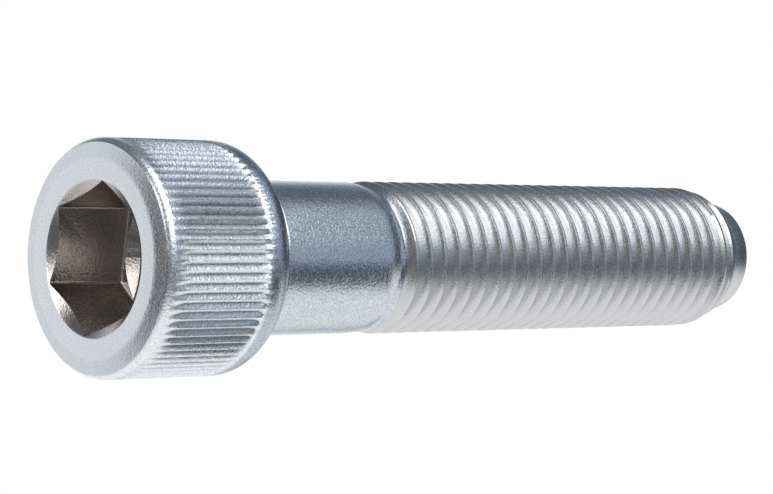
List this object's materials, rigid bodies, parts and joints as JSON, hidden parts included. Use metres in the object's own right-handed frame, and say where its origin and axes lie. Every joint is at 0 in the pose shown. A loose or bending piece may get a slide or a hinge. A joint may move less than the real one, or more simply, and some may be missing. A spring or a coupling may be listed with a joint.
{
  "type": "hex socket cap screw",
  "caption": "Socket head cap screw with a straight-knurled round head, a hexagon socket, a plain shank and a fine thread with a pilot point.",
  "frame": {"origin": "centre of the head's end face, where the screw stands on the bench", "axes": "+Z along the screw's axis, from the head to the point; two corners of the socket lie on the X axis"},
  "size_m": [0.0176, 0.0176, 0.067],
  "materials": {
    "plated_steel": "bright zinc-plated steel, finely mottled, with a slight blue tint"
  },
  "bodies": {
    "root": {"cap_screw": "plated_steel"}
  },
  "joints": []
}
